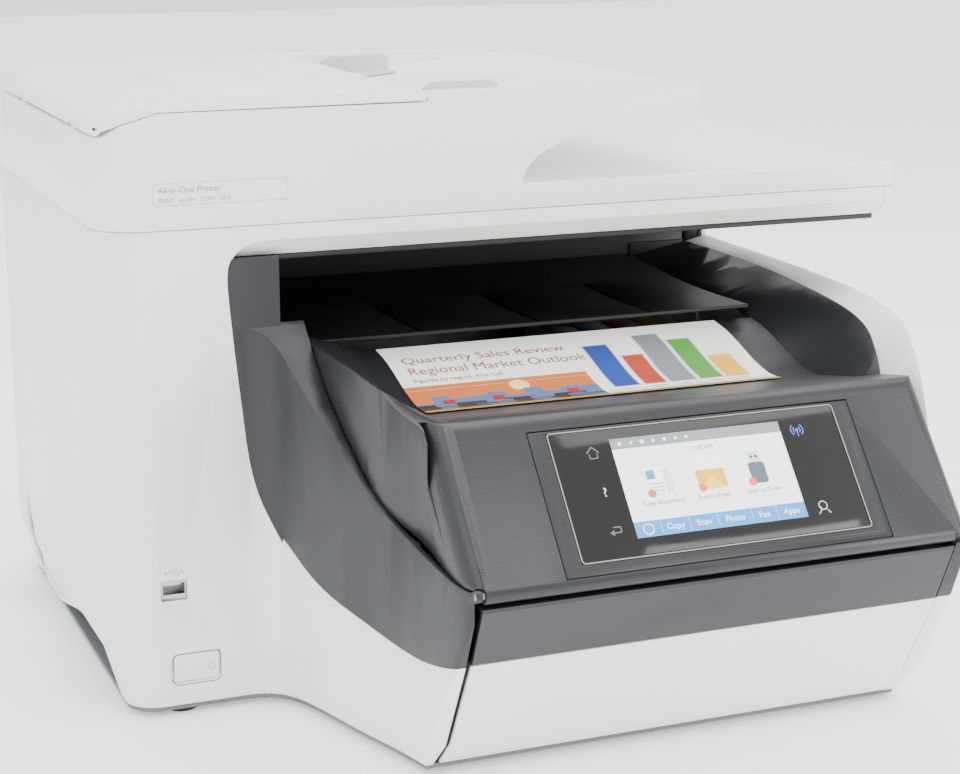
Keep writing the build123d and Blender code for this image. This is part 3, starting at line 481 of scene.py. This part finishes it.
@dataclass(frozen=True)
class PrintMechanism(SubAssembly):
    """Carriage, cartridges, rollers and their drive."""

    pieces: tuple[tuple[Look, str], ...] = (
        (Look.BLACK, "carriage platen"), (Look.STEEL, "chassis_plates guide_shaft guide_rail feed_motor"),
        (Look.BRASS, "motor_pinion"), (Look.RUBBER, "feed_roller exit_roller"),
        (Look.INK_BLACK, "ink_cartridge_black"), (Look.INK_CYAN, "ink_cartridge_cyan"),
        (Look.INK_MAGENTA, "ink_cartridge_magenta"), (Look.INK_YELLOW, "ink_cartridge_yellow"))


@dataclass(frozen=True)
class Electrics(SubAssembly):
    """Boards, supply and sockets."""

    pieces: tuple[tuple[Look, str], ...] = (
        (Look.BLACK, "power_inlet rear_ports power_supply"), (Look.STEEL, "usb_port"),
        (Look.BOARD, "main_board"))


@dataclass
class Studio:
    """Pale floor, soft lights and the camera."""

    eye: Point = (-0.46456, -1.15914, 0.45761)
    azimuth: float = -22.21
    elevation: float = 13.67
    lens_mm: float = 79.21
    shift: tuple[float, float] = (-0.01075, 0.001)
    floor_half: float = 6.0
    surround: float = 1.7
    aim: Point = (0, 0, 0.2)
    lamps: tuple[tuple[str, Point, float, float], ...] = (
        ("top", (0.1, 0.1, 1.9), 2.0, 44), ("front_left", (-1.7, -1.6, 1.5), 1.6, 16),
        ("front_right", (1.9, -1.5, 1.0), 1.4, 34))

    def build(self) -> None:
        """Make the floor, the world, the lights and the camera."""
        self.floor()
        self.world()
        self.lights()
        self.camera()

    def floor(self) -> None:
        """A plain pale floor."""
        mesh = bpy.data.meshes.new("floor")
        half = self.floor_half
        corners = [(-half, -half, 0), (half, -half, 0), (half, half, 0), (-half, half, 0)]
        mesh.from_pydata(corners, [], [(0, 1, 2, 3)])
        link("floor", mesh, Plain("studio_floor_pale", "#FAFAFA", 0.9, glow=0.5).build())

    def world(self) -> None:
        """An even pale surround."""
        world = bpy.data.worlds.new("studio")
        bpy.context.scene.world = world
        world.use_nodes = True
        world.node_tree.nodes["Background"].inputs[0].default_value = (1, 1, 1, 1)
        world.node_tree.nodes["Background"].inputs[1].default_value = self.surround

    def lights(self) -> None:
        """Large soft lights: above, front left and front right."""
        for name, place, size, power in self.lamps:
            light = bpy.data.lights.new(name, "AREA")
            light.size = size
            light.energy = power
            lamp = bpy.data.objects.new(name, light)
            lamp.location = place
            lamp.rotation_euler = (Vector(self.aim) - Vector(place)).to_track_quat("-Z", "Y").to_euler()
            bpy.context.scene.collection.objects.link(lamp)

    def camera(self) -> None:
        """The camera, looking in from the front left."""
        data = bpy.data.cameras.new("camera")
        data.lens = self.lens_mm
        data.sensor_width = 36.0
        data.shift_x, data.shift_y = self.shift
        camera = bpy.data.objects.new("camera", data)
        turn, rise = math.radians(self.azimuth), math.radians(self.elevation)
        ahead = Vector((-math.sin(turn) * math.cos(rise), math.cos(turn) * math.cos(rise), -math.sin(rise)))
        camera.location = self.eye
        camera.rotation_euler = ahead.to_track_quat("-Z", "Y").to_euler()
        bpy.context.scene.collection.objects.link(camera)
        bpy.context.scene.camera = camera


# --- printed and lit marks -------------------------------------------------------

Shape = list[tuple[float, float]]


def rect(x0: float, x1: float, y0: float, y1: float) -> Shape:
    """A rectangle, counter-clockwise."""
    return [(x0, y0), (x1, y0), (x1, y1), (x0, y1)]


def round_rect(x0: float, x1: float, y0: float, y1: float, radius: float, steps: int = 6) -> Shape:
    """A rectangle with rounded corners, counter-clockwise.

    Args:
        x0: left side.
        x1: right side.
        y0: foot.
        y1: top.
        radius: radius of the corners.
        steps: straight pieces in each corner.

    Returns:
        The outline.
    """
    points = []
    for cx, cy, start in ((x1 - radius, y0 + radius, -90), (x1 - radius, y1 - radius, 0),
                          (x0 + radius, y1 - radius, 90), (x0 + radius, y0 + radius, 180)):
        for i in range(steps + 1):
            a = math.radians(start + 90 * i / steps)
            points.append((cx + radius * math.cos(a), cy + radius * math.sin(a)))
    return points


def ring(outer: Shape, inner: Shape) -> list[Shape]:
    """The band between two outlines with the same number of points, as quads."""
    n = len(outer)
    return [[outer[i], outer[(i + 1) % n], inner[(i + 1) % n], inner[i]] for i in range(n)]


def disc(cx: float, cy: float, radius: float, start: float = 0, end: float = 360, steps: int = 24) -> Shape:
    """Points round an arc, counter-clockwise."""
    count = steps if end - start >= 360 else steps + 1
    return [(cx + radius * math.cos(math.radians(start + (end - start) * i / steps)),
             cy + radius * math.sin(math.radians(start + (end - start) * i / steps))) for i in range(count)]


def stroke(points: Shape, width: float) -> list[Shape]:
    """A line drawn through points, as quads.

    Args:
        points: what it goes through.
        width: how wide it is.

    Returns:
        One quad for each stretch.
    """
    made = []
    for (x0, y0), (x1, y1) in zip(points, points[1:]):
        length = math.hypot(x1 - x0, y1 - y0) or 1
        nx, ny = -(y1 - y0) / length * width / 2, (x1 - x0) / length * width / 2
        made.append([(x0 - nx, y0 - ny), (x1 - nx, y1 - ny), (x1 + nx, y1 + ny), (x0 + nx, y0 + ny)])
    return made


def text_shapes(words: str, x: float, y: float, size: float, align: str = "CENTER") -> list[Shape]:
    """Letters as flat triangles, in millimetres.

    Args:
        words: what it says.
        x: middle or left end of the line.
        y: foot of the line.
        size: height of the type.
        align: LEFT or CENTER.

    Returns:
        The faces of the letters.
    """
    curve = bpy.data.curves.new("words", "FONT")
    curve.body, curve.size, curve.align_x = words, size, align
    curve.resolution_u = 3
    holder = bpy.data.objects.new("words", curve)
    bpy.context.scene.collection.objects.link(holder)
    mesh = bpy.data.meshes.new_from_object(holder.evaluated_get(bpy.context.evaluated_depsgraph_get()))
    shapes = [[(x + mesh.vertices[v].co.x, y + mesh.vertices[v].co.y) for v in face.vertices]
              for face in mesh.polygons]
    bpy.data.objects.remove(holder)
    bpy.data.meshes.remove(mesh)
    return shapes


def lay(name: str, shapes: list[Shape], place: object, raise_mm: float, material: bpy.types.Material,
        body: str, cut: int = 1) -> bpy.types.Object:
    """Lay flat shapes on a surface as one thin piece that rides a body.

    Args:
        name: the piece's name.
        shapes: outlines in the surface's own millimetres.
        place: the surface, with an at(u, v, d) method.
        raise_mm: how far the shapes stand off the surface.
        material: their finish.
        body: the body they ride.
        cut: how many steps a four-sided shape is cut into along v, to follow a bend.

    Returns:
        The new piece.
    """
    points, faces = [], []
    for shape in shapes:
        rows = [shape]
        if cut > 1 and len(shape) == 4:
            (ax, ay), (bx, by), (cx, cy), (dx, dy) = shape
            rows = []
            for i in range(cut):
                f, g = i / cut, (i + 1) / cut
                rows.append([(ax + (dx - ax) * f, ay + (dy - ay) * f),
                             (bx + (cx - bx) * f, by + (cy - by) * f),
                             (bx + (cx - bx) * g, by + (cy - by) * g),
                             (ax + (dx - ax) * g, ay + (dy - ay) * g)])
        for row in rows:
            faces.append(tuple(range(len(points), len(points) + len(row))))
            points += [tuple(place.at(u, v, raise_mm)) for u, v in row]
    mesh = bpy.data.meshes.new(name)
    mesh.from_pydata(points, [], faces)
    mesh.validate()
    thing = link(name, mesh, material)
    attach(thing, body)
    LOG.info("%s: %d shapes on %s", name, len(shapes), body)
    return thing


@dataclass(frozen=True)
class PagePath:
    """The way the printed page lies: down from the output slot, over the ramp and into the trough."""

    path: tuple[tuple[float, float], ...] = (
        (-57.5, 178.45), (-50, 177.75), (-44, 177.75), (-34, 179.5), (-24, 182.1),
        (-14, 185.5), (-5, 188.7), (4, 191.5), (13, 193.7), (25.5, 195.7))

    def at(self, x: float, t: float, d: float = 0.0) -> Vector:
        """A point on the bent page.

        Args:
            x: place across the machine.
            t: millimetres up the page from its front edge.
            d: height above the page.

        Returns:
            The point in the model's frame.
        """
        left = t
        for (y0, z0), (y1, z1) in zip(self.path, self.path[1:]):
            step = math.hypot(y1 - y0, z1 - z0)
            if left <= step or (y1, z1) == self.path[-1]:
                f = left / step
                return HOUSING.at(x, y0 + (y1 - y0) * f, z0 + (z1 - z0) * f + d)
            left -= step
        return HOUSING.at(x, *self.path[-1])


@dataclass
class PrintedPage:
    """The front part of a letter page on the ramp, with a plain chart, a landscape and a title."""

    left: float = 160.0
    right: float = 376.0
    length: float = 85.5
    bars: tuple[tuple[str, float, float, float], ...] = (
        ("#27479A", 279, 294, 64), ("#B5402A", 298, 311, 50), ("#808489", 314, 330, 72),
        ("#4F9A3C", 333, 347, 63),
        ("#F1B72B", 350, 364, 42))

    def build(self) -> None:
        """Make the page and everything printed on it."""
        page = PagePath()
        sheet = self.lay("page_paper", [rect(self.left, self.right, 0, self.length)], page, 0.0,
                         finish(Look.PAPER), 24)
        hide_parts("printed_sheet")
        self.lay("page_gold_strip", [rect(self.left, self.right, 0.2, 5)], page, 0.06,
                 print_ink("#A98A1E"), 4)
        self.lay("page_chart_ground", [rect(272, 374, 5, 12)], page, 0.06, print_ink("#E3E4E7"), 4)
        for code, x0, x1, top in self.bars:
            self.lay(f"page_bar_{code[1:]}", [rect(x0, x1, 16, top)], page, 0.12, print_ink(code), 12)
        frames = [rect(x0 - 1, x1 + 1, 15, top + 1) for _, x0, x1, top in self.bars]
        self.lay("page_bar_shadow", frames, page, 0.06, print_ink("#CFD1D6"), 12)
        letters = []
        for (_, x0, x1, _top), words in zip(self.bars, ("North", "South", "East", "West", "Online")):
            letters += text_shapes(words, (x0 + x1) / 2, 10.5, 3.6)
        self.lay("page_small_print", letters, page, 0.12, print_ink("#4A4C52"), 1)
        title = text_shapes("Quarterly Sales Review", 168, 62, 10.5, "LEFT")
        title += text_shapes("Regional Market Outlook", 168, 50, 10.5, "LEFT")
        self.lay("page_title", title, page, 0.12, print_ink("#8B4A44"), 1)
        subtitle = text_shapes("Figures by region, first half", 168, 42, 5, "LEFT")
        self.lay("page_subtitle", subtitle, page, 0.12, print_ink("#33302F"), 1)
        self.picture(page)

    def lay(self, name: str, shapes: list[Shape], page: PagePath, up: float, ink: bpy.types.Material,
            cut: int) -> bpy.types.Object:
        """Lay one colour of print on the page."""
        return lay(name, shapes, page, up, ink, "front_door", cut)

    def picture(self, page: PagePath) -> None:
        """The picture block: a landscape at sunset."""
        self.lay("page_picture_sky", [rect(160, 270, 5, 38)], page, 0.06, print_ink("#C9702F"), 8)
        self.lay("page_picture_sun", [disc(226, 30, 6)], page, 0.1, print_ink("#F2D9A0"), 1)
        far = [rect(160 + 11 * i, 171 + 11 * i, 5, 17 + 9 * abs(math.sin(1.3 * i))) for i in range(10)]
        self.lay("page_picture_hills", far, page, 0.1, print_ink("#5B6E97"), 4)
        near = [rect(160 + 10 * i, 170 + 10 * i, 5, 11 + 5 * abs(math.sin(2.1 * i + 1))) for i in range(11)]
        self.lay("page_picture_fields", near, page, 0.14, print_ink("#3A2A27"), 3)
        roofs = [rect(x, x + 7, 13, 20) for x in (176, 205, 250)]
        self.lay("page_picture_roofs", roofs, page, 0.18, print_ink("#A3202A"), 2)


@dataclass
class Display:
    """What the touch screen shows, its bright frame line and the keys printed beside it."""

    glass: float = 0.27
    screen: tuple[float, float, float, float] = (229.0, 327.2, 20.2, 75.5)

    def build(self) -> None:
        """Make the screen, the keys and the frame line."""
        x0, x1, s0, s1 = self.screen
        lit = 1.0
        self.lay("screen_ground", [rect(x0, x1, s0, s1)], 0.0, print_ink("#F4F5F8", lit))
        self.lay("screen_status_bar", [rect(x0, x1, s1 - 6, s1)], 0.04, print_ink("#7F8184", lit))
        self.lay("screen_bottom_bar", [rect(x0, x1, s0, s0 + 8.6)], 0.04, print_ink("#3F86C8", lit))
        lines = [rect(x, x + 0.3, s0 + 0.6, s0 + 8) for x in (243.5, 259.5, 276, 295.5, 310)]
        self.lay("screen_bar_lines", lines, 0.08, print_ink("#A9CBEB", lit))
        self.lay("screen_home_key", ring(disc(236.3, s0 + 4.2, 3.1), disc(236.3, s0 + 4.2, 2.6)), 0.08,
                 print_ink("#FFFFFF", lit))
        words = []
        for label, x in (("Copy", 251.5), ("Scan", 267.8), ("Photo", 285.7), ("Fax", 302.7), ("Apps", 318.6)):
            words += text_shapes(label, x, s0 + 2.9, 4.6)
        self.lay("screen_bottom_words", words, 0.1, print_ink("#FFFFFF", lit))
        words = text_shapes("11:00 AM", 279, 64.6, 3.4)
        for label, x in (("Copy Document", 249), ("Scan to Email", 278), ("Scan to Drive", 307)):
            words += text_shapes(label, x, 37.0, 3.5)
        self.lay("screen_words", words, 0.08, print_ink("#2B2C30", lit))
        self.status_row(x0, s1)
        self.icons(lit)
        self.keys()
        outer = round_rect(195.6, 362.4, 10.1, 82.3, 2.0)
        inner = round_rect(196.2, 361.8, 10.7, 81.7, 1.6)
        self.lay("screen_frame_line", ring(outer, inner), 0.0, print_ink("#9A9A92", 0.0, 0.3))

    def lay(self, name: str, shapes: list[Shape], up: float, ink: bpy.types.Material) -> None:
        """Lay one colour on the glass."""
        lay(name, shapes, PANEL, self.glass + up, ink, "front_door")

    def icons(self, lit: float) -> None:
        """A stack of pages, an envelope and a memory stick."""
        self.lay("icon_page_back", [rect(246, 257, 43, 56)], 0.06, print_ink("#D5DADF", lit))
        self.lay("icon_page_front", [rect(242, 253, 42, 58)], 0.08, print_ink("#FFFFFF", lit))
        self.lay("icon_page_edge", ring(rect(241.7, 253.3, 41.7, 58.3), rect(242, 253, 42, 58)), 0.1,
                 print_ink("#B8BDC4", lit))
        self.lay("icon_page_picture", [rect(243.4, 248.2, 51, 56)], 0.1, print_ink("#2F8CA6", lit))
        self.lay("icon_page_lines", [rect(243.4, 251.6, z, z + 0.7) for z in (44, 46, 48)], 0.1,
                 print_ink("#9AA3AD", lit))
        self.lay("icon_letter", [rect(273.5, 285, 48, 60)], 0.06, print_ink("#FFFFFF", lit))
        self.lay("icon_envelope", [rect(271, 287.5, 42, 53)], 0.08, print_ink("#E2A92F", lit))
        self.lay("icon_envelope_fold", [[(271, 42), (287.5, 42), (279.2, 49)]], 0.1,
                 print_ink("#F1C65A", lit))
        self.lay("icon_stick", [round_rect(302, 311.5, 42, 54, 1.5)], 0.06, print_ink("#4E5A66", lit))
        self.lay("icon_stick_plug", [rect(303.4, 310, 54, 60)], 0.06, print_ink("#C6CBD0", lit))
        self.lay("icon_stick_holes", [rect(304.6, 306, 56.4, 58), rect(307.4, 308.8, 56.4, 58)], 0.08,
                 print_ink("#3B4148", lit))
        badges = [disc(244, 43.2, 2.3), disc(273, 43.2, 2.3), disc(302, 43.2, 2.3)]
        self.lay("icon_badges", badges, 0.12, print_ink("#E0603A", lit))

    def keys(self) -> None:
        """The keys printed on the glass: home, help, back, wireless and tap."""
        home = stroke([(214.6, 69), (218, 72.4), (221.4, 69)], 0.6)
        home += stroke([(215.8, 68.6), (215.8, 66), (220.2, 66), (220.2, 68.6)], 0.5)
        back = stroke([(216, 24.6), (221.4, 24.6), (221.4, 27.6), (217.4, 27.6)], 0.55)
        back += [[(215, 24.6), (217.4, 23), (217.4, 26.2)]]
        self.lay("key_home_and_back", home + back, 0.0, print_ink("#6E6E70"))
        self.lay("key_help", text_shapes("?", 218.6, 44.6, 7.0), 0.0, print_ink("#E8E8EA", 0.6))
        waves = []
        for radius in (2.0, 3.6):
            for start in (-50, 130):
                waves += stroke(disc(337, 69.5, radius, start, start + 100, 10), 0.5)
        waves += [disc(337, 69.5, 0.8, steps=12)] + stroke([(337, 69.5), (337, 65.8)], 0.5)
        self.lay("key_wireless", waves, 0.0, print_ink("#5A6BE0", 0.9))
        tap = ring(disc(337.6, 25.4, 2.6), disc(337.6, 25.4, 2.1))
        tap += stroke([(334, 20.8), (336, 22.8), (336, 25)], 0.5)
        tap += stroke([(341, 20.8), (339.6, 22.8)], 0.5)
        self.lay("key_tap", tap, 0.0, print_ink("#C9C9CC", 0.3))

    def status_row(self, x0: float, s1: float) -> None:
        """The row of status marks along the top of the screen, repeated by geometry nodes."""
        first = PANEL.at(x0 + 5, s1 - 3, self.glass + 0.08)
        row = RepeatedRow(count=7, pitch=6.4 * MM, size=(2.2 * MM, 2.2 * MM, 0.02 * MM), seed=4)
        turn = Matrix.Rotation(math.radians(PANEL.degrees), 4, "X")
        marks = row.build("screen_status_marks", print_ink("#F2F2F2", 1.0), Matrix.Translation(first) @ turn)
        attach(marks, "front_door")


@dataclass
class RepeatedRow:
    """A row of small blocks along X, made with geometry nodes and baked."""

    count: int
    pitch: float
    size: Point
    seed: int = 1

    def tree(self, material: bpy.types.Material) -> bpy.types.NodeTree:
        """Build the node tree: a line of points, a block on each, slightly uneven in size.

        Args:
            material: the blocks' finish.

        Returns:
            The tree, with inputs for the count, the pitch and the size.
        """
        tree = bpy.data.node_groups.new("repeated_row", "GeometryNodeTree")
        for name, kind in (("Count", "NodeSocketInt"), ("Pitch", "NodeSocketFloat"),
                           ("Size", "NodeSocketVector")):
            tree.interface.new_socket(name=name, in_out="INPUT", socket_type=kind)
        tree.interface.new_socket(name="Geometry", in_out="OUTPUT", socket_type="NodeSocketGeometry")
        given = add(tree, "NodeGroupInput")
        step = add(tree, "ShaderNodeCombineXYZ", X=given.outputs["Pitch"])
        line = add(tree, "GeometryNodeMeshLine", Count=given.outputs["Count"], Offset=step.outputs[0])
        block = add(tree, "GeometryNodeMeshCube", Size=given.outputs["Size"])
        uneven = add(tree, "FunctionNodeRandomValue",
                     {"data_type": "FLOAT", 2: 0.6, 3: 1.0, "Seed": self.seed})
        spread = add(tree, "GeometryNodeInstanceOnPoints", Points=line.outputs[0], Instance=block.outputs[0],
                     Scale=uneven.outputs[1])
        real = add(tree, "GeometryNodeRealizeInstances", Geometry=spread.outputs[0])
        coat = add(tree, "GeometryNodeSetMaterial", Geometry=real.outputs[0], Material=material)
        out = add(tree, "NodeGroupOutput")
        tree.links.new(coat.outputs[0], out.inputs[0])
        return tree

    def build(self, name: str, material: bpy.types.Material, place: Matrix) -> bpy.types.Object:
        """Bake the row into a plain mesh at a place.

        Args:
            name: the piece's name.
            material: its finish.
            place: where the first block goes.

        Returns:
            The finished piece, at the origin.
        """
        holder = bpy.data.objects.new(name + "_nodes", bpy.data.meshes.new(name + "_seed"))
        bpy.context.scene.collection.objects.link(holder)
        modifier = holder.modifiers.new("row", "NODES")
        modifier.node_group = self.tree(material)
        values = {"Count": self.count, "Pitch": self.pitch, "Size": self.size}
        for item in modifier.node_group.interface.items_tree:
            if item.in_out == "INPUT":
                modifier[item.identifier] = values[item.name]
        mesh = bpy.data.meshes.new_from_object(holder.evaluated_get(bpy.context.evaluated_depsgraph_get()))
        bpy.data.objects.remove(holder)
        mesh.transform(place)
        return link(name, mesh, material)


@dataclass
class FrontMarks:
    """Small marks on the white covers: the label plate, the power symbol and the socket's symbol."""

    plate: tuple[float, float, float, float] = (29.0, 103.0, 288.5, 300.5)

    def build(self) -> None:
        """Make all the marks."""
        x0, x1, z0, z1 = self.plate
        inset = 0.35
        edge = ring(round_rect(x0, x1, z0, z1, 2.2),
                    round_rect(x0 + inset, x1 - inset, z0 + inset, z1 - inset, 1.9))
        lay("label_outline", edge, FACE, 0.06, print_ink("#B9B9B9"), "lid")
        lay("label_title", text_shapes("All-in-One Printer", 32, 295.2, 4.6, "LEFT"), FACE, 0.06,
            print_ink("#5E5E60"), "lid")
        lay("label_functions", text_shapes("PRINT   SCAN   COPY   FAX", 32, 290.2, 3.2, "LEFT"), FACE, 0.06,
            print_ink("#77777A"), "lid")
        self.power()
        self.socket()

    def power(self) -> None:
        """The power symbol and the dark line round the button."""
        face = FrontPlane(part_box("power_button")[0].y / MM - HOUSING.face)
        symbol = stroke(disc(52.6, 30.2, 2.0, 120, 420, 20), 0.45)
        symbol += stroke([(52.6, 30.6), (52.6, 33.0)], 0.45)
        lay("power_symbol", symbol, face, 0.06, print_ink("#8F9194"), "power_button")
        outline = ring(round_rect(30.8, 58.2, 20.8, 39.2, 3.2), round_rect(31.4, 57.6, 21.4, 38.6, 2.7))
        lay("power_outline", outline, face, 0.05, print_ink("#5B5C5F"), "power_button")

    def socket(self) -> None:
        """The three-pronged bus symbol over the socket."""
        lines = stroke([(28.6, 87), (37.4, 87)], 0.4) + stroke([(30.6, 87), (32.2, 88.6), (34, 88.6)], 0.35)
        lines += stroke([(31.8, 87), (33.2, 85.4), (35, 85.4)], 0.35) + [disc(28.4, 87, 0.8, steps=12)]
        lines += [disc(34.4, 88.6, 0.6, steps=10), rect(35, 36, 84.9, 85.9)]
        lines += [[(37.2, 86.3), (38.6, 87), (37.2, 87.7)]]
        lay("socket_symbol", lines, FACE, 0.06, print_ink("#A9AAAD"), "root")


def main() -> None:
    """Build everything in order."""
    logging.basicConfig(level=logging.INFO)
    Studio().build()
    for group in (Body(), Scanner(), Lid(), Feeder(), Door(), Drawer(), PrintMechanism(), Electrics()):
        group.dress()
    PrintedPage().build()
    Display().build()
    FrontMarks().build()


if __name__ == "__main__":
    main()
